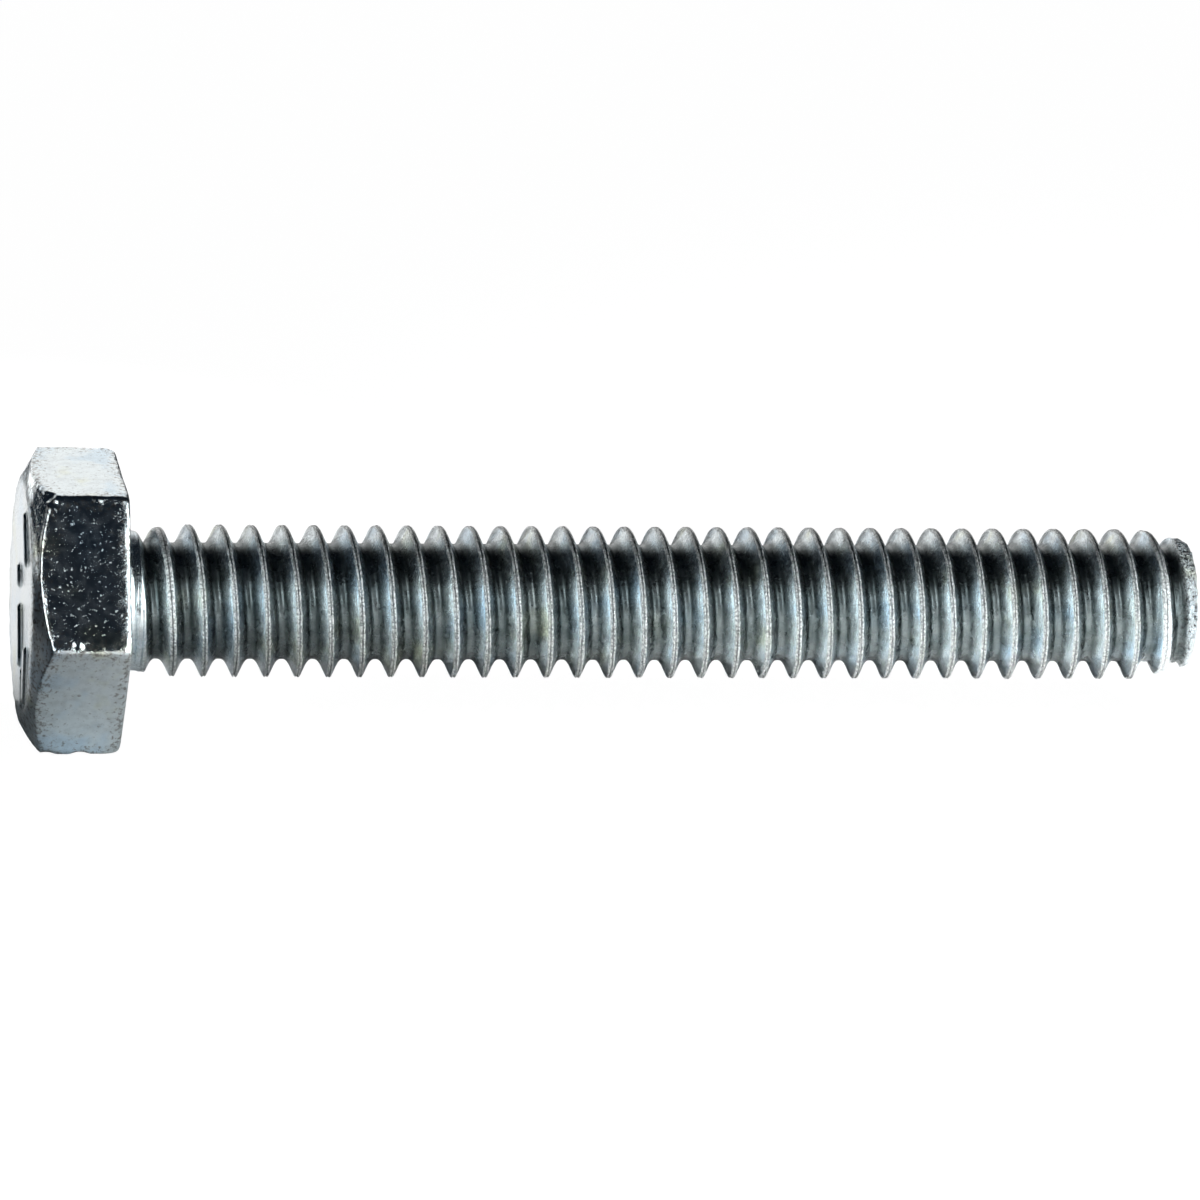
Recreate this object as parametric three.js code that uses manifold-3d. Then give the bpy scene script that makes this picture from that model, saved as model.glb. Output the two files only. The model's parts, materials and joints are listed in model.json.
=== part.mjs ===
// A zinc-plated hex cap screw, 1/4-20 UNC by 1 3/4 inch, threaded all the way up to its head.
//
// Millimetres, +Z up. The bolt lies along +X with one wrench flat down. The origin is the middle
// of the head's top face, the shank points to +X, and two of the head's corners point to +Y and -Y.
// The real bolt is one forging with a rolled thread, so it is one solid and one mesh.

import * as THREE from "three";
import { mergeVertices } from "three/addons/utils/BufferGeometryUtils.js";
import Module from "manifold-3d";

// Head
const ACROSS_FLATS = 10.9;
const HEAD_HEIGHT = 3.93; // top face to bearing face
const CROWN_INSET = 0.53; // how far the top face's flat circle stays inside the wrench flats
const CROWN_CHAMFER = 30; // degrees between the chamfer and the top face
const CORNER_RADIUS = 0.4; // rounding of the six upright edges
const UNDERSIDE_ROUND = 0.35; // rounding of the corners where they meet the bearing face

// Shank and thread
const LENGTH_UNDER_HEAD = 43.9; // bearing face to the end of the thread
const THREAD_MAJOR = 6.15; // diameter over the crests
const THREAD_PITCH = 1.27; // 20 threads per inch
const THREAD_DEPTH = 0.58 * THREAD_PITCH; // crest to root of the rolled thread
const CREST_WIDTH = THREAD_PITCH / 8;
const FLANK_ANGLE = 30; // degrees between a flank and the plane across the axis
const FIRST_CREST = 0.02; // from the bearing face to a crest on the +Y side, less whole pitches
const FILLET_RADIUS = 0.5; // between the neck and the bearing face
const NECK_DROP = 0.27; // how far the neck lies below the crests
const NECK_LENGTH = 0.6; // bearing face to where the neck ends
const ROOT_FALL = 0.7; // over which the groove deepens past the neck
const CREST_RISE = 1.7; // over which the crests rise past the neck
const POINT_LENGTH = 2; // tapered first thread at the tip
const POINT_MARGIN = 0.2; // how far the rim of the flat end face stands outside the roots

// Resolution
const STEPS_PER_TURN = 20; // of the thread, and flats around the shank
const CHAMFER_STEPS = 96; // flats around the head's chamfer cone
const ARC_STEPS = 4; // along each small rounding
const MERGE_DISTANCE = 1e-5; // below which two vertices are one

// How far a cutting shape stands clear of what it cuts, and how deep the ridge starts below the
// roots, so that no two surfaces coincide.
const CUT_CLEARANCE = 0.3;
const RIDGE_BURIED = 0.23;

const wasm = await Module();
wasm.setup();

// A closed geometry as a solid that can be joined and cut.
function solid(geometry) {
  const bare = geometry.clone();
  bare.deleteAttribute("normal");
  bare.deleteAttribute("uv");
  const merged = mergeVertices(bare, MERGE_DISTANCE);
  return new wasm.Manifold(
    new wasm.Mesh({
      numProp: 3,
      vertProperties: merged.getAttribute("position").array,
      triVerts: new Uint32Array(merged.getIndex().array),
    }),
  );
}

// The solid's surface as a geometry with flat-shaded normals.
function geometryOf(body) {
  const mesh = body.getMesh();
  const indexed = new THREE.BufferGeometry();
  indexed.setAttribute("position", new THREE.BufferAttribute(mesh.vertProperties, mesh.numProp));
  indexed.setIndex(new THREE.BufferAttribute(mesh.triVerts, 1));
  const flat = indexed.toNonIndexed();
  flat.computeVertexNormals();
  return flat;
}

// A body of revolution about the X axis; each outline point is (radius, x).
function turned(outline, steps) {
  return solid(new THREE.LatheGeometry(outline, steps).rotateZ(-Math.PI / 2));
}

// Points along a round from one angle to another, both in degrees, as (radius, x).
function arcPoints(centreRadius, centreX, radius, fromDegrees, toDegrees) {
  const from = THREE.MathUtils.degToRad(fromDegrees);
  const to = THREE.MathUtils.degToRad(toDegrees);
  return new THREE.EllipseCurve(
    centreRadius, centreX, radius, radius, from, to, from > to,
  ).getPoints(ARC_STEPS);
}

const headCornerReach = ACROSS_FLATS / 2 / Math.cos(Math.PI / 6);
const majorRadius = THREAD_MAJOR / 2;
const rootRadius = majorRadius - THREAD_DEPTH;
const neckRadius = majorRadius - NECK_DROP;
const bearingX = HEAD_HEIGHT;
const tipX = HEAD_HEIGHT + LENGTH_UNDER_HEAD;

// Head: a hexagonal prism with rounded upright edges, one flat facing down.
function hexPrism() {
  const roundCentre = headCornerReach - CORNER_RADIUS / Math.cos(Math.PI / 6);
  const outline = new THREE.Shape();
  for (let side = 0; side < 6; side++) {
    const corner = Math.PI / 2 + (side * Math.PI) / 3;
    outline.absarc(
      roundCentre * Math.cos(corner),
      roundCentre * Math.sin(corner),
      CORNER_RADIUS,
      corner - Math.PI / 6,
      corner + Math.PI / 6,
    );
  }
  outline.closePath();
  const prism = new THREE.ExtrudeGeometry(outline, {
    depth: HEAD_HEIGHT,
    bevelEnabled: false,
    curveSegments: ARC_STEPS,
  });
  return solid(prism.rotateY(Math.PI / 2));
}

// The turned shape that cuts the prism: a chamfer cone around the crown, and a small round
// that takes only the corners off at the bearing face.
function headEnvelope() {
  const crownRadius = ACROSS_FLATS / 2 - CROWN_INSET;
  const reach = headCornerReach + CUT_CLEARANCE;
  const slope = Math.tan(THREE.MathUtils.degToRad(CROWN_CHAMFER));
  const roundRadius = headCornerReach - CORNER_RADIUS * (1 / Math.cos(Math.PI / 6) - 1);
  const outline = [
    new THREE.Vector2(0, 0),
    new THREE.Vector2(crownRadius, 0),
    new THREE.Vector2(reach, (reach - crownRadius) * slope),
    new THREE.Vector2(reach, bearingX - UNDERSIDE_ROUND),
    ...arcPoints(roundRadius - UNDERSIDE_ROUND, bearingX - UNDERSIDE_ROUND, UNDERSIDE_ROUND, 0, 90),
    new THREE.Vector2(0, bearingX),
  ];
  return turned(outline, CHAMFER_STEPS);
}

// Shank without its thread: fillet, neck, the fall to the roots, and the root cylinder.
function shankCore() {
  const inHead = bearingX - HEAD_HEIGHT / 2;
  const filletReach = neckRadius + FILLET_RADIUS;
  const outline = [
    new THREE.Vector2(0, inHead),
    new THREE.Vector2(filletReach, inHead),
    ...arcPoints(filletReach, bearingX + FILLET_RADIUS, FILLET_RADIUS, -90, -180),
    new THREE.Vector2(neckRadius, bearingX + NECK_LENGTH),
    new THREE.Vector2(rootRadius, bearingX + NECK_LENGTH + ROOT_FALL),
    new THREE.Vector2(rootRadius, tipX),
    new THREE.Vector2(0, tipX),
  ];
  return turned(outline, STEPS_PER_TURN);
}

// A right-handed helix around the X axis. Its frames keep the thread's section in the plane
// through the axis: the section's x points away from the axis and its y runs along it.
class ThreadHelix extends THREE.Curve {
  constructor(radius, pitch, startX, turns) {
    super();
    this.radius = radius;
    this.pitch = pitch;
    this.startX = startX;
    this.turns = turns;
  }

  getPoint(t, target = new THREE.Vector3()) {
    const turn = t * this.turns;
    const angle = 2 * Math.PI * turn;
    return target.set(
      this.startX + this.pitch * turn,
      this.radius * Math.cos(angle),
      this.radius * Math.sin(angle),
    );
  }

  // The helix is even, so equal steps of t are equal lengths.
  getUtoTmapping(u) {
    return u;
  }

  computeFrenetFrames(steps) {
    const frames = { tangents: [], normals: [], binormals: [] };
    for (let step = 0; step <= steps; step++) {
      const angle = (2 * Math.PI * this.turns * step) / steps;
      const outward = new THREE.Vector3(0, Math.cos(angle), Math.sin(angle));
      const along = new THREE.Vector3(-1, 0, 0);
      frames.normals.push(outward);
      frames.binormals.push(along);
      frames.tangents.push(new THREE.Vector3().crossVectors(outward, along));
    }
    return frames;
  }
}

// The ridge between two roots, wound from inside the head to beyond the tip.
function threadRidge() {
  const flankSlope = Math.tan(THREE.MathUtils.degToRad(FLANK_ANGLE));
  const crestHalf = CREST_WIDTH / 2;
  const baseHalf = crestHalf + (THREAD_DEPTH + RIDGE_BURIED) * flankSlope;
  const section = new THREE.Shape([
    new THREE.Vector2(-RIDGE_BURIED, -baseHalf),
    new THREE.Vector2(THREAD_DEPTH, -crestHalf),
    new THREE.Vector2(THREAD_DEPTH, crestHalf),
    new THREE.Vector2(-RIDGE_BURIED, baseHalf),
  ]);
  const startX = bearingX + FIRST_CREST - THREAD_PITCH;
  const turns = Math.ceil((tipX - startX) / THREAD_PITCH) + 1;
  const ridge = new THREE.ExtrudeGeometry(section, {
    steps: turns * STEPS_PER_TURN,
    extrudePath: new ThreadHelix(rootRadius, THREAD_PITCH, startX, turns),
  });
  return solid(ridge);
}

// The turned shape that trims the ridge: crests rise out of the neck, run level, and taper
// to the flat end face.
function threadEnvelope() {
  const clear = majorRadius + CUT_CLEARANCE;
  const neckEnd = bearingX + NECK_LENGTH;
  const riseSlope = CREST_RISE / NECK_DROP;
  const pointRadius = rootRadius + POINT_MARGIN;
  const pointSlope = POINT_LENGTH / (majorRadius - pointRadius);
  const outline = [
    new THREE.Vector2(0, bearingX),
    new THREE.Vector2(neckRadius - CUT_CLEARANCE, bearingX),
    new THREE.Vector2(neckRadius, neckEnd),
    new THREE.Vector2(clear, neckEnd + (clear - neckRadius) * riseSlope),
    new THREE.Vector2(clear, tipX - (clear - pointRadius) * pointSlope),
    new THREE.Vector2(pointRadius, tipX),
    new THREE.Vector2(0, tipX),
  ];
  return turned(outline, STEPS_PER_TURN);
}

const head = hexPrism().intersect(headEnvelope());
const thread = threadRidge().intersect(threadEnvelope());
const bolt = new THREE.Mesh(
  geometryOf(head.add(shankCore()).add(thread)),
  new THREE.MeshStandardMaterial({ color: 0xb9c0c8, roughness: 0.32, metalness: 1 }),
);
bolt.name = "bolt";

const part = new THREE.Group();
part.add(bolt);

export default part;
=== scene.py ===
import functools
import itertools
import json
import math

import bpy
import numpy as np
from mathutils import Matrix, Vector

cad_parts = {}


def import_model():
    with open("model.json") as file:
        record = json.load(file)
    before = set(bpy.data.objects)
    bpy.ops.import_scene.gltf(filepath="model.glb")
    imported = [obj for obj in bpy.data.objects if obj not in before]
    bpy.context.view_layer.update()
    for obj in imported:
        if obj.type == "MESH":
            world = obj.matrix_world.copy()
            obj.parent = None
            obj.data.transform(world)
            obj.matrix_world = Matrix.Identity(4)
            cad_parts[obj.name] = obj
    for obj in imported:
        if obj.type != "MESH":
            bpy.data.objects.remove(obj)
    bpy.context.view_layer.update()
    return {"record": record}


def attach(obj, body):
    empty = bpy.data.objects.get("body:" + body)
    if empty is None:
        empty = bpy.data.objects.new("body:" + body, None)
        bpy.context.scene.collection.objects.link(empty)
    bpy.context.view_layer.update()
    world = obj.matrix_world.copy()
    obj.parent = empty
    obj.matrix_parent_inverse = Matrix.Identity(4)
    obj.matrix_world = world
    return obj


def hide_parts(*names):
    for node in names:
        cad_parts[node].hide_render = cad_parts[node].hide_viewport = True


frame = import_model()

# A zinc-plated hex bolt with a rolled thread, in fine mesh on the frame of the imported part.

MM = 0.001

# ---------------------------------------------------------------- sizes, all in millimetres

MOUNTS = {m["name"]: np.array(m["pos_m"]) / MM for m in frame["record"]["mounts"]}
HALF_FLATS = MOUNTS["flat_up"][2]
HALF_CORNERS = HALF_FLATS / math.cos(math.pi / 6)
HEAD_HEIGHT = MOUNTS["bearing_face"][0]
TIP_X = MOUNTS["tip_face"][0]

CROWN_RADIUS = HALF_FLATS - 0.53
CROWN_CHAMFER = math.radians(30)
CORNER_BLEND = 0.16  # width over which two neighbouring flats blend into each other
CROWN_BLEND = 0.10
CHAMFER_BLEND = 0.05
BEARING_BLEND = 0.18
RIM_LENGTH = 0.22  # the worn bevel round the bearing face
RIM_SLOPE = math.radians(19)
CORNER_CUT = 0.16  # how far the cut at the bearing face reaches in from a corner
EDGE_REACH = 0.22  # of the wear, on either side of an edge
BORDER_REACH = 1.0  # of the stains, on either side of an edge

THREAD_PITCH = 1.27
THREAD_MAJOR = 3.075  # radius over the crests
THREAD_DEPTH = 0.58 * THREAD_PITCH
THREAD_ROOT = THREAD_MAJOR - THREAD_DEPTH
CREST_HALF = THREAD_PITCH / 16
FLANK_SLOPE = math.tan(math.radians(26))
PROFILE_HALF = CREST_HALF + THREAD_DEPTH * FLANK_SLOPE  # from a crest to where its flank meets the root
FIRST_CREST = 0.02  # from the bearing face to a crest on the +Y side, less whole pitches
ROOT_BLEND = 0.30
CREST_BLEND = 0.09
SEAM_DEPTH = 0.07  # the lap that rolling leaves along the crest
SEAM_WIDTH = 0.030
SEAM_STRENGTH = 0.85

NECK_RADIUS = THREAD_MAJOR - 0.27
NECK_LENGTH = 0.6
NECK_SINK = THREAD_DEPTH / 2  # how far the neck falls below the roots where the thread takes over
FILLET_RADIUS = 0.5
ROOT_FALL = 0.7  # length over which the neck falls
CREST_RISE = 1.7  # length over which the crests reach their height
POINT_LENGTH = 2.0
POINT_RADIUS = THREAD_ROOT + 0.2
POINT_ROUND = 0.10
ROUGH_POINT = 0.65  # length of the rough sheared band at the tip
FADE = 0.2  # share of the length of such a stretch over which it fades, on either side of its end
END_DISH = 0.03  # depth of the end face
END_SKIN = 0.02  # length over which the point's wear turns from outward to along the axis
MIDDLE_RADIUS = 0.2  # nearer the axis than this, wear across the axis fades out

DENTS = (
    # along the axis, turn up from the -Y side in degrees, distance of the ball from the axis, its radius
    (1.75, 3.5, 6.45, 0.36),
    (1.45, 8.0, 6.30, 0.30),
    (2.05, 8.5, 6.20, 0.26),
    (1.20, -1.0, 6.50, 0.25),
    (3.55, 53.0, 6.35, 0.36),
    (2.60, 57.5, 6.45, 0.30),
    (3.10, 54.5, 6.42, 0.28),
    (0.55, 62.0, 6.35, 0.42),
    (0.75, 57.5, 6.40, 0.30),
    (3.70, 8.0, 6.25, 0.30),
    (0.95, -60.0, 6.50, 0.40),
    (2.30, -61.5, 6.75, 0.62),
    (3.00, 118.0, 6.50, 0.36),
    (1.20, -120.0, 6.48, 0.33),
    (2.70, 180.0, 6.50, 0.34),
)
DENT_BLEND = 0.10

STROKES = (
    # raised strokes on the crown: place across and up, length, tilt in degrees
    (2.7, 2.4, 1.6, 14),
    (-0.1, 1.0, 0.3, 0),
    (0.0, -1.4, 1.9, 4),
    (2.3, -3.0, 1.7, -16),
    (1.0, -3.5, 1.0, -10),
)
STROKE_TURN = math.radians(19.5)  # of the strokes' own across and up, round the axis
STROKE_HEIGHT = 0.14
STROKE_RADIUS = 0.32
STROKE_EDGE = 0.12

# Layers of noise: size of the features, seed, height.
SEAM_WANDER = ((2.2, 11, 0.02), (0.5, 12, 0.008))
CREST_WAVES = ((0.8, 13, 0.008),)
SEAM_CHANGES = ((1.1, 14, 0.15),)
ROLLING_MARKS = (((0.10, 0.9, 0.9), 21, 0.004),)
POINT_PITS = ((0.22, 22, 0.06), (0.09, 23, 0.035))
LOOSE_METAL = (((0.09, 1.3, 1.3), 24, 0.03),)
HEAD_WAVES = ((2.0, 31, 0.012), (0.7, 32, 0.003), (0.25, 33, 0.0012))
EDGE_NICKS = ((0.5, 34, 0.02), (0.2, 35, 0.012))

# ---------------------------------------------------------------- how finely the meshes are divided

STEPS_PER_TURN = 144
PROFILE_STEPS = (10, 7, 6)  # along half a crest, one flank and half a root
CREST_SPAN = 1.3  # half width of the stretch with the crest's fine steps, in half crests

HEAD_PATH = (
    # along the axis, radius, rings from here to the next place
    (0.0, 0.0, 100),
    (0.0, CROWN_RADIUS - 0.3, 16),
    (0.0, CROWN_RADIUS + 0.1, 22),
    (0.3, HALF_FLATS + 0.05, 30),
    (0.75, HALF_CORNERS, 46),
    (HEAD_HEIGHT - 0.45, HALF_CORNERS, 30),
    (HEAD_HEIGHT, HALF_CORNERS - 0.05, 22),
    (HEAD_HEIGHT, HALF_FLATS - 0.35, 12),
    (HEAD_HEIGHT, NECK_RADIUS, 3),
    (HEAD_HEIGHT, 0.0, 1),
)
HEAD_COLUMNS = 420
CORNER_CROWDING = 1.5  # above 1, the columns stand closer together at the corners
CORE_RADIUS = 4.0  # of the disc that the rays to the surface start from
CORE_DEPTH = 1.0  # from either face of the head to that disc
RAY_REACH = 1.6  # length of the rays, in distances from the disc to the path
RAY_HALVINGS = 22
SAME_PLACE = 1e-6  # vertices nearer than this are one vertex

# ---------------------------------------------------------------- helpers


def smooth_max(a, b, width):
    """The larger of a and b, rounded where they cross."""
    h = np.maximum(width - np.abs(a - b), 0) / width
    return np.maximum(a, b) + h * h * width / 4


def smooth_min(a, b, width):
    """The smaller of a and b, rounded where they cross."""
    return -smooth_max(-a, -b, width)


def smooth_step(low, high, value):
    """From 0 at low to 1 at high, level at both ends."""
    t = np.clip((value - low) / (high - low), 0, 1)
    return t * t * (3 - 2 * t)


def smooth_noise(points, cell, seed):
    """Noise from -1 to 1 at an (n, 3) array of points, with features of about one cell."""
    lattice = 32
    values = np.random.default_rng(seed).uniform(-1, 1, (lattice, lattice, lattice))
    scaled = points / np.asarray(cell)
    base = np.floor(scaled).astype(int)
    part = scaled - base
    part = part * part * (3 - 2 * part)
    total = np.zeros(len(points))
    for corner in itertools.product((0, 1), repeat=3):
        index = (base + corner) % lattice
        weight = np.prod(np.where(corner, part, 1 - part), axis=1)
        total += weight * values[index[:, 0], index[:, 1], index[:, 2]]
    return total


def layered_noise(points, layers):
    """The sum of layers of noise, each with its cell, seed and height."""
    return sum(smooth_noise(points, cell, seed) * height for cell, seed, height in layers)


def merge_close(vertices, faces):
    """Merges vertices at the same place and drops the faces that collapse."""
    keys = np.round(vertices / SAME_PLACE).astype(np.int64)
    _, first, inverse = np.unique(keys, axis=0, return_index=True, return_inverse=True)
    inverse = inverse.ravel()
    merged = []
    for face in inverse[faces]:
        ring = [v for i, v in enumerate(face) if v != face[i - 1]]
        if len(set(ring)) > 2:
            merged.append(ring)
    return vertices[first], merged


# ---------------------------------------------------------------- shank


def profile_phases():
    """Places along one pitch, from root to root, packed closer on the crest."""
    crest, flank, root = PROFILE_STEPS
    crest_end = CREST_HALF * CREST_SPAN
    half = np.concatenate([
        np.linspace(0, crest_end, crest, endpoint=False),
        np.linspace(crest_end, PROFILE_HALF, flank, endpoint=False),
        np.linspace(PROFILE_HALF, THREAD_PITCH / 2, root, endpoint=False),
    ])
    return np.concatenate([[-THREAD_PITCH / 2], -half[:0:-1], half])


def thread_place(x, angle):
    """Distance across from the nearest crest line, and places along that line to take noise at."""
    offset = x - HEAD_HEIGHT - FIRST_CREST - THREAD_PITCH * angle / (2 * np.pi)
    across = (offset / THREAD_PITCH + 0.5) % 1 * THREAD_PITCH - THREAD_PITCH / 2
    turn = np.round(offset / THREAD_PITCH) + angle / (2 * np.pi)
    along = np.zeros((len(x), 3))
    along[:, 0] = turn * 2 * np.pi * THREAD_MAJOR
    return across, along


def lap(across, along):
    """Share of the seam that rolling leaves along the crest, where the metal folds over."""
    wander = layered_noise(along, SEAM_WANDER)
    strength = SEAM_STRENGTH + layered_noise(along, SEAM_CHANGES)
    return strength * np.exp(-((across - wander) / SEAM_WIDTH) ** 2)


def thread_radius(x, angle):
    """Radius of the rolled thread at a distance along the axis and a turn angle."""
    across, along = thread_place(x, angle)
    rise = (PROFILE_HALF - np.abs(across)) / FLANK_SLOPE
    height = smooth_max(rise, np.zeros_like(rise), ROOT_BLEND)
    crest = THREAD_DEPTH + layered_noise(along, CREST_WAVES)
    height = smooth_min(height, crest, CREST_BLEND)
    return THREAD_ROOT + height - SEAM_DEPTH * lap(across, along)


def crest_limit(x):
    """Radius that no crest passes: lower at the neck and on the tapered point."""
    rise = (THREAD_MAJOR - NECK_RADIUS) * (x - HEAD_HEIGHT - NECK_LENGTH) / CREST_RISE
    taper = (THREAD_MAJOR - POINT_RADIUS) / POINT_LENGTH
    return np.minimum(NECK_RADIUS + rise, POINT_RADIUS + taper * (TIP_X - x))


def shank_radius(x, angle):
    """Radius of the shank: the fillet and neck under the head, the thread, and the rounded tip."""
    past = x - HEAD_HEIGHT
    thread = smooth_min(thread_radius(x, angle), crest_limit(x), CREST_BLEND)
    fall = smooth_step(NECK_LENGTH, NECK_LENGTH + ROOT_FALL, past)
    neck = NECK_RADIUS + (THREAD_ROOT - NECK_SINK - NECK_RADIUS) * fall
    drop = np.clip(FILLET_RADIUS - past, 0, FILLET_RADIUS)
    fillet = FILLET_RADIUS - np.sqrt(FILLET_RADIUS**2 - drop**2)
    radius = smooth_max(thread, neck + fillet, CREST_BLEND)
    rim = np.clip(POINT_ROUND - (TIP_X - x), 0, POINT_ROUND)
    return radius - (POINT_ROUND - np.sqrt(POINT_ROUND**2 - rim**2))


def rough_share(left):
    """Share of the rough sheared band, by the length left to the tip."""
    return smooth_step(ROUGH_POINT * (1 + FADE), ROUGH_POINT * (1 - FADE), left)


def shank_wear(points, radius):
    """Small shifts of the surface: rolling marks, loose metal at both ends, and the rough point."""
    left = TIP_X - points[:, 0]
    loose = smooth_step(NECK_LENGTH + ROOT_FALL, NECK_LENGTH, points[:, 0] - HEAD_HEIGHT)
    loose = loose + smooth_step(POINT_LENGTH * (1 + FADE), POINT_LENGTH * (1 - FADE), left)
    pits = layered_noise(points, POINT_PITS)
    shift = layered_noise(points, ROLLING_MARKS) + loose * layered_noise(points, LOOSE_METAL)
    shift = shift + rough_share(left) * pits
    end = smooth_step(END_SKIN, 0.0, left)
    wear = np.zeros_like(points)
    wear[:, 0] = np.minimum(pits / 2 - END_DISH, 0) * end
    wear[:, 1:] = points[:, 1:] * (shift * (1 - end) / np.maximum(radius, MIDDLE_RADIUS))[:, None]
    return wear


def shank_mesh():
    """A helical strip of the thread, wound from inside the head to the middle of the end face.

    The turns to spare at both ends fall together on the axis.
    """
    phases = profile_phases()
    rows = len(phases)
    first_turn = -math.ceil(HEAD_HEIGHT / THREAD_PITCH) - 1
    last_turn = math.ceil((TIP_X - HEAD_HEIGHT) / THREAD_PITCH) + 4
    row = np.arange(rows * (last_turn - first_turn))
    column = np.arange(STEPS_PER_TURN)
    row_x = (row // rows + first_turn) * THREAD_PITCH + phases[row % rows]
    angle = 2 * np.pi * column / STEPS_PER_TURN
    helix_x = HEAD_HEIGHT + FIRST_CREST + row_x[:, None] + THREAD_PITCH * angle / (2 * np.pi)
    helix_x = helix_x.ravel()
    angle = np.broadcast_to(angle, (len(row), STEPS_PER_TURN)).ravel()

    buried = HEAD_HEIGHT / 2
    x = np.clip(helix_x, buried, TIP_X)
    radius = shank_radius(x, angle)
    radius = radius * np.sqrt(np.clip((helix_x - buried) / THREAD_PITCH, 0, 1))
    radius = radius * np.clip(1 - (helix_x - TIP_X) / THREAD_PITCH, 0, 1)
    points = np.stack([x, radius * np.cos(angle), radius * np.sin(angle)], axis=1)
    points = points + shank_wear(points, radius)

    grid = row[:, None] * STEPS_PER_TURN + column
    after = np.roll(grid, -1, axis=1)
    after[:-rows, -1] = grid[rows:, 0]
    after[-rows:, -1] = grid[-1, 0]
    quads = np.stack([grid[:-1], after[:-1], after[1:], grid[1:]], axis=-1).reshape(-1, 4)
    return merge_close(points, quads)


# ---------------------------------------------------------------- head


def raised_strokes(y, z):
    """Height of the plain raised strokes on the crown."""
    across = -y * math.cos(STROKE_TURN) + z * math.sin(STROKE_TURN)
    up = y * math.sin(STROKE_TURN) + z * math.cos(STROKE_TURN)
    height = np.zeros(len(y))
    for stroke_across, stroke_up, length, tilt in STROKES:
        cos = math.cos(math.radians(tilt))
        sin = math.sin(math.radians(tilt))
        aside = (across - stroke_across) * cos + (up - stroke_up) * sin
        along = -(across - stroke_across) * sin + (up - stroke_up) * cos
        reach = np.hypot(aside, np.maximum(np.abs(along) - length / 2, 0))
        share = smooth_step(STROKE_RADIUS + STROKE_EDGE, STROKE_RADIUS - STROKE_EDGE, reach)
        height = np.maximum(height, STROKE_HEIGHT * share)
    return height


def head_surfaces(points):
    """Distances from the six flats, the crown, its chamfer, the bearing face and the cut at the corners."""
    x, y, z = points.T
    radius = np.hypot(y, z)
    normals = math.pi / 2 + np.arange(6) * math.pi / 3
    flats = [y * math.cos(a) + z * math.sin(a) - HALF_FLATS for a in normals]
    chamfer = (radius - CROWN_RADIUS) * math.sin(CROWN_CHAMFER) - x * math.cos(CROWN_CHAMFER)
    cut = (radius - HALF_CORNERS + CORNER_CUT + x - HEAD_HEIGHT) * math.sqrt(0.5)
    return flats, -x - raised_strokes(y, z), chamfer, x - HEAD_HEIGHT, cut


def edge_nearness(reach, flats, crown, chamfer, bearing):
    """Nearness to an edge between two of the head's surfaces, from 0 to 1."""
    second, first = np.sort(np.stack([*flats, crown, chamfer, bearing]), axis=0)[-2:]
    return smooth_step(reach, 0.0, first - second)


def head_distance(points):
    """Roughly the distance from the head's surface, below zero inside it."""
    flats, crown, chamfer, bearing, cut = head_surfaces(points)
    sides = functools.reduce(lambda a, b: smooth_max(a, b, CORNER_BLEND), flats)
    bevel = sides * math.cos(RIM_SLOPE) + (bearing + RIM_LENGTH) * math.sin(RIM_SLOPE)
    surface = smooth_max(sides, chamfer, CHAMFER_BLEND)
    for other in (cut, bevel, bearing):
        surface = smooth_max(surface, other, BEARING_BLEND)
    surface = smooth_max(surface, crown, CROWN_BLEND)
    edge = edge_nearness(EDGE_REACH, flats, crown, chamfer, bearing)
    surface = surface + layered_noise(points, HEAD_WAVES) + edge * layered_noise(points, EDGE_NICKS)
    for x, turn, distance, ball in DENTS:
        angle = math.radians(turn)
        centre = np.array([x, -math.cos(angle) * distance, math.sin(angle) * distance])
        surface = smooth_max(surface, ball - np.linalg.norm(points - centre, axis=1), DENT_BLEND)
    return surface


def head_rings():
    """Distances along the axis and radii of the rings that the rays are sent through."""
    ring_x, ring_r = [], []
    for (x0, r0, count), (x1, r1, _) in zip(HEAD_PATH, HEAD_PATH[1:] + HEAD_PATH[-1:]):
        share = np.arange(count) / count
        ring_x.append(x0 + (x1 - x0) * share)
        ring_r.append(r0 + (r1 - r0) * share)
    return np.concatenate(ring_x), np.concatenate(ring_r)


def ring_points(x, radius, angle):
    """Points on rings round the axis, ring by ring."""
    x, angle = np.broadcast_arrays(x[:, None], angle)
    radius = radius[:, None]
    return np.stack([x, radius * np.cos(angle), radius * np.sin(angle)], axis=-1).reshape(-1, 3)


def head_mesh():
    """Rays from a disc inside the head to its surface, in rings from the crown to the bearing face."""
    ring_x, ring_r = head_rings()
    sector = math.pi / 6
    corner = np.linspace(-1, 1, HEAD_COLUMNS // 6, endpoint=False)
    spread = np.sign(corner) * np.abs(corner) ** CORNER_CROWDING * sector
    angle = (spread + (np.arange(6) * 2 * sector)[:, None]).ravel()

    core_x = np.clip(ring_x, CORE_DEPTH, HEAD_HEIGHT - CORE_DEPTH)
    origin = ring_points(core_x, np.minimum(ring_r, CORE_RADIUS), angle)
    direction = ring_points(ring_x, ring_r, angle) - origin
    near = np.zeros(len(direction))
    far = np.full(len(direction), RAY_REACH)
    for _ in range(RAY_HALVINGS):
        half = (near + far) / 2
        inside = head_distance(origin + direction * half[:, None]) < 0
        near = np.where(inside, half, near)
        far = np.where(inside, far, half)
    points = origin + direction * near[:, None]

    grid = np.arange(len(points)).reshape(len(ring_x), len(angle))
    after = np.roll(grid, -1, axis=1)
    quads = np.stack([grid[:-1], grid[1:], after[1:], after[:-1]], axis=-1).reshape(-1, 4)
    return merge_close(points, quads)


# ---------------------------------------------------------------- material

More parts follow.
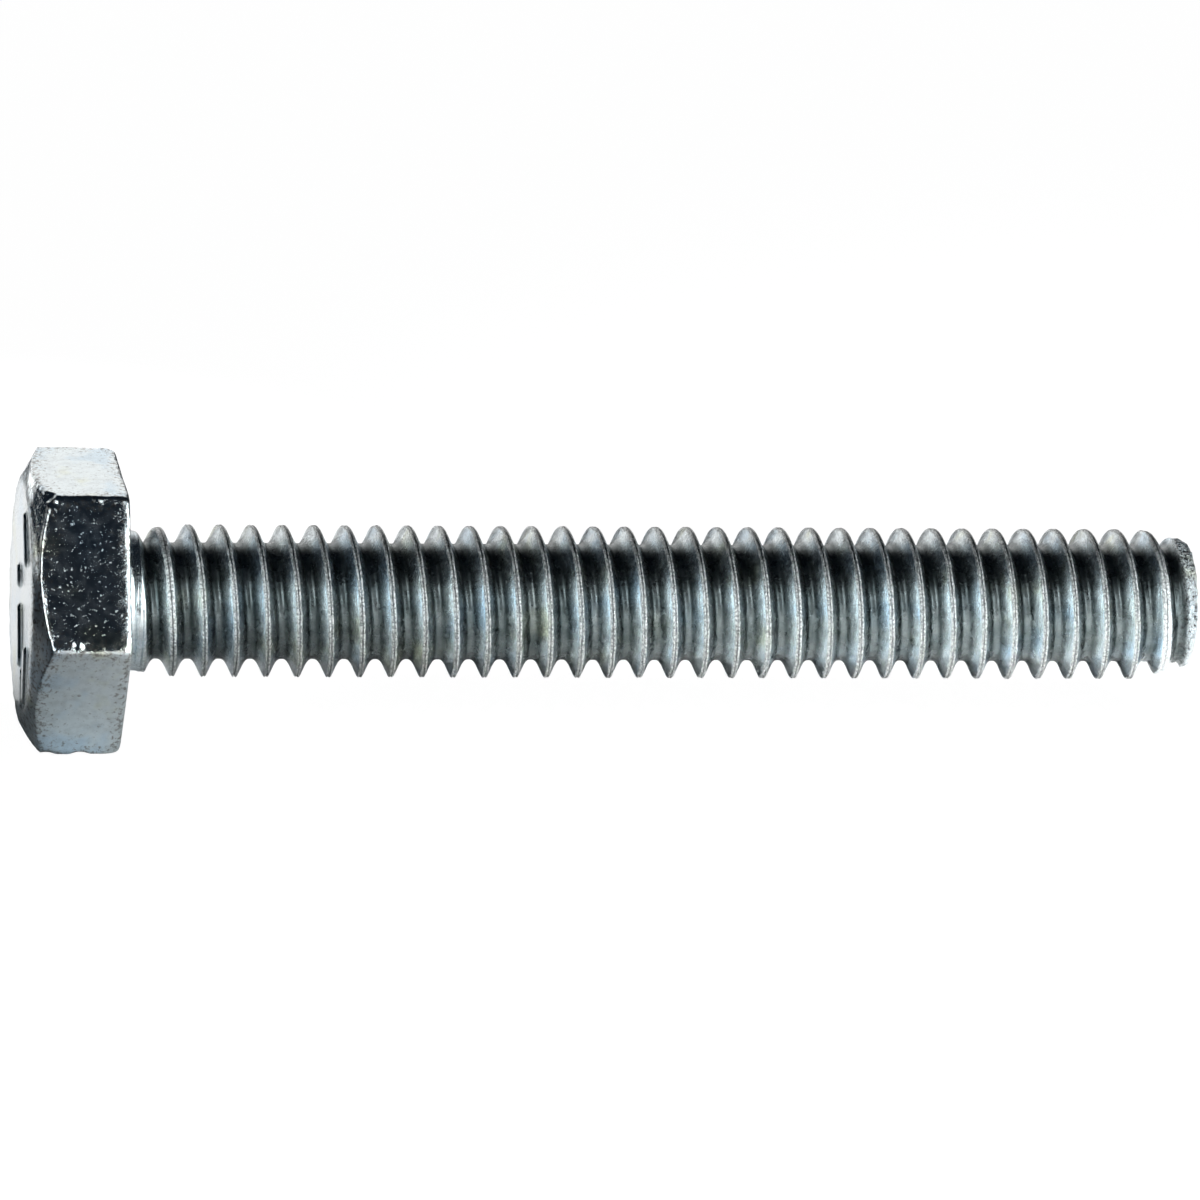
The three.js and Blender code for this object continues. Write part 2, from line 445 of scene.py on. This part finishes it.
# Colours of the zinc plate and of what is on it, and of the painted shade in its recesses, seam and torn
# pits.
COOL = (0.66, 0.78, 0.86, 1)
PLAIN = (0.77, 0.84, 0.86, 1)
OLIVE = (0.76, 0.80, 0.69, 1)
STAINED = (0.22, 0.20, 0.18, 1)
# Dark grime for the specks on the crests; also painted shade, with some grime, in the thread roots and at
# the feet of the crown's strokes.
GRIME_AND_SHADE = (0.055, 0.072, 0.072, 1)
POLISHED = (0.93, 0.94, 0.93, 1)
# Painted shade: black in the fold of the rolled seam and in the torn pits at the tip.
HOLE_SHADE = (0.03, 0.03, 0.03, 1)

# Noise textures on places in millimetres: scale, detail, roughness.
TEXTURES = {
    "drift": (0.42, 3.0, 0.55),
    "shade_and_grime": (0.9, 3.0, 0.5),
    "cloud": (2.6, 5.0, 0.6),
    "torn": (5.0, 4.0, 0.75),
    "flecks": (5.5, 6.0, 0.7),
    "chips": (6.0, 4.0, 0.7),
    "pits": (7.5, 3.0, 0.7),
    "grain": (9.0, 3.0, 0.7),
    "speckle": (11.0, 3.0, 0.7),
    "fine": (12.0, 4.0, 0.65),
}
STREAK_STRETCH = (16.0, 1.1, 1.1)  # streaks run round the shank
STREAK = (1.0, 3.0, 0.6)

# Values of a texture between which a look sets in.
PLAIN_RANGE = (0.36, 0.50)
OLIVE_RANGE = (0.56, 0.70)
STAIN_RANGE = (0.59, 0.68)
PIT_SHADE_RANGE = (0.46, 0.38)
PIT_RANGE = (0.60, 0.74)

# The same, with the shades, shares or roughness that they go between.
CLOUD_SHADES = (0.30, 0.62, 0.84, 1.0)
GRAIN_SHADES = (0.34, 0.56, 0.78, 1.0)
STREAK_SHADES = (0.36, 0.56, 0.84, 1.0)
SHADE_AND_GRIME_SHARES = (0.3, 0.7, 0.86, 0.97)
SPECK_SHARES = (0.54, 0.46, 0.0, 0.65)
CLOUD_ROUGHNESS = (0.35, 0.68, 0.10, 0.17)

BORDER_STAINS = 0.10  # added to the flecks near an edge
STAIN_SHARE = 0.75
POLISH_SHARE = 0.8
DULLNESS = {"stain": 0.08, "shank": 0.10, "shaded_recess": 0.06, "crest": 0.08}

FINE_STRENGTH = (0.14, 0.45)  # on the head, on the shank
PIT_STRENGTH = (0.21, 0.40)  # on the head, on the shank
STREAK_STRENGTH = 0.45
CHIP_STRENGTH = 0.5
FINE_DEPTH = 0.02 * MM
CHIP_DEPTH = 0.04 * MM
SPECKLE_DEPTH = 0.06 * MM
TORN_DEPTH = 0.16 * MM

VERTEX_MARKS = ("shaded_recess", "shank", "crest", "edge", "border", "rough_end", "seam")


class Nodes:
    """Adds shader nodes to a tree and links them. An input that is a socket is linked."""

    def __init__(self, tree):
        self.tree = tree

    def add(self, kind, inputs=(), **settings):
        node = self.tree.nodes.new("ShaderNode" + kind)
        for name, value in settings.items():
            setattr(node, name, value)
        for key, value in dict(inputs).items():
            self.set(node.inputs[key], value)
        return node

    def set(self, socket, value):
        if isinstance(value, bpy.types.NodeSocket):
            self.tree.links.new(value, socket)
        else:
            socket.default_value = value

    def noise(self, vector, scale, detail, roughness):
        inputs = {"Vector": vector, "Scale": scale, "Detail": detail, "Roughness": roughness}
        return self.add("TexNoise", inputs).outputs["Fac"]

    def stretch(self, vector, scale):
        return self.add("Mapping", {"Vector": vector, "Scale": scale}).outputs[0]

    def remap(self, value, low, high, to_low=0.0, to_high=1.0):
        inputs = {"Value": value, "From Min": low, "From Max": high, "To Min": to_low, "To Max": to_high}
        return self.add("MapRange", inputs, interpolation_type="SMOOTHSTEP").outputs[0]

    def math(self, operation, a, b):
        return self.add("Math", {0: a, 1: b}, operation=operation).outputs[0]

    def times(self, a, b):
        return self.math("MULTIPLY", a, b)

    def plus(self, a, b):
        return self.math("ADD", a, b)

    def mix(self, share, a, b, blend="MIX"):
        node = self.add("Mix", data_type="RGBA", blend_type=blend)
        self.set(node.inputs[0], share)
        self.set(node.inputs[6], a)
        self.set(node.inputs[7], b)
        return node.outputs[2]

    def darken(self, colour, shade):
        """The colour times a grey."""
        grey = self.add("CombineColor", {0: shade, 1: shade, 2: shade}).outputs[0]
        return self.mix(1.0, colour, grey, "MULTIPLY")

    def bump(self, height, strength, distance, under=None):
        inputs = {"Height": height, "Strength": strength, "Distance": distance}
        if under is not None:
            inputs["Normal"] = under
        return self.add("Bump", inputs).outputs[0]


def zinc_colour(nodes, marks, textures):
    """Mottled blue to olive, stained near the edges, polished on the crests; painted shade with some grime
    darkens the recesses, and painted shade blackens the seam and the torn pits.
    """
    colour = nodes.mix(nodes.remap(textures["drift"], *PLAIN_RANGE), COOL, PLAIN)
    colour = nodes.mix(nodes.remap(textures["drift"], *OLIVE_RANGE), colour, OLIVE)
    colour = nodes.darken(colour, nodes.remap(textures["cloud"], *CLOUD_SHADES))
    colour = nodes.mix(nodes.times(marks["stain"], STAIN_SHARE), colour, STAINED)
    # Painted shade with some grime: darkens the thread roots and the feet of the strokes.
    shade_and_grime = nodes.remap(textures["shade_and_grime"], *SHADE_AND_GRIME_SHARES)
    colour = nodes.mix(nodes.times(marks["shaded_recess"], shade_and_grime), colour, GRIME_AND_SHADE)
    colour = nodes.mix(nodes.times(marks["crest"], POLISH_SHARE), colour, POLISHED)
    specks = nodes.remap(textures["speckle"], *SPECK_SHARES)
    colour = nodes.mix(nodes.times(marks["crest"], specks), colour, GRIME_AND_SHADE)
    # Painted shade: the seam's fold and the torn pits are painted black.
    pit_shade = nodes.times(marks["rough_end"], nodes.remap(textures["torn"], *PIT_SHADE_RANGE))
    colour = nodes.mix(nodes.math("MAXIMUM", marks["seam"], pit_shade), colour, HOLE_SHADE)
    grain = nodes.remap(textures["grain"], *GRAIN_SHADES)
    grain = nodes.times(grain, nodes.remap(textures["streak"], *STREAK_SHADES))
    return nodes.mix(marks["shank"], colour, nodes.darken(colour, grain))


def zinc_roughness(nodes, marks, textures):
    """Cloudy, and duller where it is stained, rolled, in the recesses or worn."""
    roughness = nodes.remap(textures["cloud"], *CLOUD_ROUGHNESS)
    for name, amount in DULLNESS.items():
        roughness = nodes.plus(roughness, nodes.times(marks[name], amount))
    return roughness


def zinc_normal(nodes, marks, textures):
    """Fine unevenness and pits all over, streaks on the shank, chips on edges, torn metal at the tip."""
    shank = marks["shank"]
    pits = nodes.remap(textures["pits"], *PIT_RANGE)
    normal = nodes.bump(textures["fine"], nodes.remap(shank, 0.0, 1.0, *FINE_STRENGTH), FINE_DEPTH)
    normal = nodes.bump(pits, nodes.remap(shank, 0.0, 1.0, *PIT_STRENGTH), FINE_DEPTH, normal)
    normal = nodes.bump(textures["streak"], nodes.times(shank, STREAK_STRENGTH), FINE_DEPTH, normal)
    normal = nodes.bump(textures["chips"], nodes.times(marks["edge"], CHIP_STRENGTH), CHIP_DEPTH, normal)
    normal = nodes.bump(textures["torn"], marks["rough_end"], TORN_DEPTH, normal)
    return nodes.bump(textures["speckle"], marks["crest"], SPECKLE_DEPTH, normal)


def zinc_material():
    """Bright clear zinc, by the bolt's marks and by noise in millimetres."""
    material = bpy.data.materials.new("zinc_plate")
    material.use_nodes = True
    nodes = Nodes(material.node_tree)
    shader = nodes.tree.nodes["Principled BSDF"]
    place = nodes.stretch(nodes.add("TexCoord").outputs["Object"], (1 / MM, 1 / MM, 1 / MM))
    textures = {name: nodes.noise(place, *values) for name, values in TEXTURES.items()}
    textures["streak"] = nodes.noise(nodes.stretch(place, STREAK_STRETCH), *STREAK)
    marks = {name: nodes.add("Attribute", attribute_name=name).outputs["Fac"] for name in VERTEX_MARKS}
    worn = nodes.plus(textures["flecks"], nodes.times(marks["border"], BORDER_STAINS))
    marks["stain"] = nodes.remap(worn, *STAIN_RANGE)
    nodes.set(shader.inputs["Base Color"], zinc_colour(nodes, marks, textures))
    nodes.set(shader.inputs["Roughness"], zinc_roughness(nodes, marks, textures))
    nodes.set(shader.inputs["Normal"], zinc_normal(nodes, marks, textures))
    nodes.set(shader.inputs["Metallic"], 1)
    return material


# ---------------------------------------------------------------- the bolt

SHANK_START = 0.15  # length over which the material turns from head to shank
CREST_TOP = (0.09, 0.03)  # depths below the crest limit, from none of the crest's look to all of it
ROOT_BOTTOM = (0.35, 0.05)  # heights above the root, from none of the painted shade and grime to all of it
CLEAN_END = 0.1  # length at the tip without the painted shade and grime of the roots
RIM_FADE = 0.1
RIM_WIDTH = 0.6  # how far in from the flats the rim's wear reaches


def surface_marks(places):
    """Shares that the material reads at each place: recesses with painted shade and grime, edges, crests,
    the seam with its painted shade, and the rough end with its torn pits.
    """
    x, y, z = places.T
    radius = np.hypot(y, z)
    past = x - HEAD_HEIGHT
    left = TIP_X - x
    shank = smooth_step(0.0, SHANK_START, past)
    across, along = thread_place(x, np.arctan2(z, y) % (2 * np.pi))
    crest = shank * smooth_step(*CREST_TOP, np.minimum(THREAD_MAJOR, crest_limit(x)) - radius)
    crest = crest * smooth_step(ROUGH_POINT * (1 - FADE), POINT_LENGTH * (1 - FADE), left)
    crest = crest * smooth_step(NECK_LENGTH, NECK_LENGTH + ROOT_FALL, past)
    # Painted shade with some grime along the thread roots, none at the very tip.
    root = shank * smooth_step(*ROOT_BOTTOM, radius - THREAD_ROOT) * (left > CLEAN_END)
    stroke = raised_strokes(y, z) / STROKE_HEIGHT * (x < 0)
    rim = smooth_step(RIM_LENGTH + RIM_FADE, RIM_LENGTH - RIM_FADE, -past)
    rim = rim * (radius > HALF_FLATS - RIM_WIDTH)
    surfaces = head_surfaces(places)[:4]
    edge = np.maximum(edge_nearness(EDGE_REACH, *surfaces), rim)
    # Painted shade at the feet of the raised strokes.
    stroke_foot_shade = 2 * stroke * (1 - stroke)
    return {
        "shaded_recess": root + stroke_foot_shade,
        "shank": shank,
        "crest": crest,
        "edge": (1 - shank) * edge,
        "border": (1 - shank) * edge_nearness(BORDER_REACH, *surfaces),
        "rough_end": rough_share(left),
        # The seam's share is also where its painted shade goes.
        "seam": crest * lap(across, along),
    }


def new_object(name, parts):
    """One object of several meshes, each given as its vertices in millimetres and its faces."""
    vertices, faces = [], []
    for part_vertices, part_faces in parts:
        first = sum(len(v) for v in vertices)
        vertices.append(part_vertices)
        faces += [[first + v for v in face] for face in part_faces]
    mesh = bpy.data.meshes.new(name)
    mesh.from_pydata((np.concatenate(vertices) * MM).tolist(), [], faces)
    mesh.validate()
    mesh.shade_smooth()
    obj = bpy.data.objects.new(name, mesh)
    bpy.context.collection.objects.link(obj)
    return obj


def add_marks(mesh):
    """Stores the surface marks on the mesh's vertices."""
    places = np.empty(len(mesh.vertices) * 3)
    mesh.vertices.foreach_get("co", places)
    for name, share in surface_marks(places.reshape(-1, 3) / MM).items():
        attribute = mesh.attributes.new(name, "FLOAT", "POINT")
        attribute.data.foreach_set("value", np.clip(share, 0, 1).astype(np.float32))


bolt = new_object("hex_bolt", [head_mesh(), shank_mesh()])
bolt.data.materials.append(zinc_material())
add_marks(bolt.data)
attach(bolt, "root")
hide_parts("bolt")

# ---------------------------------------------------------------- stage

FLOOR_GAP = 0.03  # room for the wear of the flat that the head rests on
FLOOR_Z = -(HALF_FLATS + FLOOR_GAP) * MM
FLOOR_HALF = 3.0  # metres
FLOOR_SHADE = 0.8
FLOOR_ROUGHNESS = 0.9
FLOOR_GLOW = 1.1  # the white that is mixed in where the floor itself is seen
FLOOR_GLOW_SHARE = 0.9
WHITE = (1, 1, 1, 1)
ROOM = (0.006, 0.010, 0.016, 1)  # the dark room that the metal reflects

BLUISH = (0.94, 0.98, 1.0)
NEUTRAL = (1, 1, 1)
WARM = (1.0, 0.985, 0.97)
SOFTBOX_DISTANCE = 0.6  # metres
SOFTBOXES = (
    # name, azimuth, elevation, width and height in metres, radiance, colour
    ("back_softbox", 187, 14, (0.55, 0.34), 1.06, WARM),
    ("right_softbox", 57, 15, (0.76, 0.45), 4.8, BLUISH),
    ("front_strip", -26, 24, (0.15, 0.42), 8.2, BLUISH),
    ("left_strip", -45, 33, (0.28, 0.2), 1.2, NEUTRAL),
)

SPOT_RADIUS = 6 * MM
FLOOR_SPOTS = (
    # name, place and target in millimetres, spread in degrees, radiance of the patch, softness of its edge
    ("floor_far", (-160, 380, 600), (-160, 380, -5.4), 56, 3.8, 0.4),
    ("floor_behind", (30, 60, 90), (0, 25, -5.4), 22, 1.1, 0.3),
    ("floor_right", (85, -70, 120), (78, -20, -5.4), 60, 2.1, 1.0),
    ("floor_front", (42, -140, 120), (44, -67, -5.4), 44, 4.0, 0.7),
    ("floor_under", (8, -70, 60), (6, -6, -5.4), 8, 0.04, 0.6),
)


def floor():
    """A pale floor that looks white."""
    material = bpy.data.materials.new("floor_paper")
    material.use_nodes = True
    nodes = Nodes(material.node_tree)
    shader = nodes.tree.nodes["Principled BSDF"]
    nodes.set(shader.inputs["Base Color"], (FLOOR_SHADE, FLOOR_SHADE, FLOOR_SHADE, 1))
    nodes.set(shader.inputs["Roughness"], FLOOR_ROUGHNESS)
    glow = nodes.add("Emission", {"Strength": FLOOR_GLOW})
    seen = nodes.add("LightPath").outputs["Is Camera Ray"]
    share = nodes.times(seen, FLOOR_GLOW_SHARE)
    mix = nodes.add("MixShader", {0: share, 1: shader.outputs[0], 2: glow.outputs[0]})
    nodes.set(nodes.tree.nodes["Material Output"].inputs["Surface"], mix.outputs[0])
    corners = [(x * FLOOR_HALF, y * FLOOR_HALF, FLOOR_Z) for x, y in ((-1, -1), (1, -1), (1, 1), (-1, 1))]
    mesh = bpy.data.meshes.new("floor")
    mesh.from_pydata(corners, [], [(0, 1, 2, 3)])
    mesh.materials.append(material)
    obj = bpy.data.objects.new("floor", mesh)
    bpy.context.collection.objects.link(obj)


def world():
    """A white background, and a dark room in the reflections."""
    scene_world = bpy.data.worlds.new("studio")
    scene_world.use_nodes = True
    bpy.context.scene.world = scene_world
    nodes = Nodes(scene_world.node_tree)
    nodes.tree.nodes.clear()
    dark = nodes.add("Background", {"Color": ROOM})
    white = nodes.add("Background", {"Color": WHITE})
    seen = nodes.add("LightPath").outputs["Is Camera Ray"]
    mix = nodes.add("MixShader", {0: seen, 1: dark.outputs[0], 2: white.outputs[0]})
    nodes.add("OutputWorld", {"Surface": mix.outputs[0]})


def around(azimuth, elevation, distance):
    """A place round the bolt's middle. Azimuth 0 is on the -Y side and 90 on the +X side."""
    a = math.radians(azimuth)
    e = math.radians(elevation)
    toward = Vector((math.sin(a) * math.cos(e), -math.cos(a) * math.cos(e), math.sin(e)))
    return Vector((TIP_X / 2 * MM, 0, 0)) + toward * distance


def aimed_light(data, place, target):
    """Puts a light at a place, facing a target."""
    obj = bpy.data.objects.new(data.name, data)
    obj.location = place
    obj.rotation_mode = "QUATERNION"
    obj.rotation_quaternion = (place - target).to_track_quat("Z", "Y")
    bpy.context.collection.objects.link(obj)
    return obj


def softbox(name, azimuth, elevation, size, radiance, colour):
    """A soft rectangular light that faces the bolt's middle. It shows in the metal, not on the floor."""
    width, height = size
    data = bpy.data.lights.new(name, "AREA")
    data.shape = "RECTANGLE"
    data.size = width
    data.size_y = height
    data.energy = radiance * width * height * math.pi
    data.color = colour
    obj = aimed_light(data, around(azimuth, elevation, SOFTBOX_DISTANCE), around(0, 0, 0))
    obj.visible_camera = False
    obj.visible_diffuse = False


def floor_spot(name, place, target, spread, radiance, blend):
    """A spotlight that brightens a patch of the floor and doesn't show in the metal."""
    place = Vector(place) * MM
    target = Vector(target) * MM
    data = bpy.data.lights.new(name, "SPOT")
    data.spot_size = math.radians(spread)
    data.spot_blend = blend
    data.shadow_soft_size = SPOT_RADIUS
    data.energy = radiance * (place - target).length ** 2 * 4 * math.pi**2 / FLOOR_SHADE
    aimed_light(data, place, target).visible_glossy = False


floor()
world()
for box in SOFTBOXES:
    softbox(*box)
for spot in FLOOR_SPOTS:
    floor_spot(*spot)

# ---------------------------------------------------------------- camera

CAMERA_YAW = math.radians(9.24)  # from square to the axis, towards the head
CAMERA_TILT = math.radians(19.5)  # round the axis, above the horizon
CAMERA_ROLL = math.radians(-0.213)
CAMERA_DISTANCE = 341.86
CAMERA_LENS = 253.0
CAMERA_SENSOR = 36
CAMERA_CLIP = (0.01, 10)  # metres
AIM_X = HEAD_HEIGHT + 19.62  # point of the axis in the middle of the frame
AIM_DROP = 0.085  # the axis passes this far below the middle


def camera():
    toward = Vector((0, -math.cos(CAMERA_TILT), math.sin(CAMERA_TILT)))
    back = Vector((-math.sin(CAMERA_YAW), 0, 0)) + toward * math.cos(CAMERA_YAW)
    right = Vector((math.cos(CAMERA_YAW), 0, 0)) + toward * math.sin(CAMERA_YAW)
    up = back.cross(right)
    turn = Matrix.Rotation(-CAMERA_ROLL, 3, back)
    right = turn @ right
    up = turn @ up
    data = bpy.data.cameras.new("camera")
    data.lens = CAMERA_LENS
    data.sensor_width = CAMERA_SENSOR
    data.clip_start, data.clip_end = CAMERA_CLIP
    obj = bpy.data.objects.new("camera", data)
    basis = Matrix((right, up, back)).transposed()
    place = Vector((AIM_X, 0, 0)) + up * AIM_DROP + back * CAMERA_DISTANCE
    obj.matrix_world = Matrix.Translation(place * MM) @ basis.to_4x4()
    bpy.context.collection.objects.link(obj)
    bpy.context.scene.camera = obj


camera()
bpy.context.scene.view_settings.view_transform = "Standard"
bpy.context.scene.view_settings.look = "None"
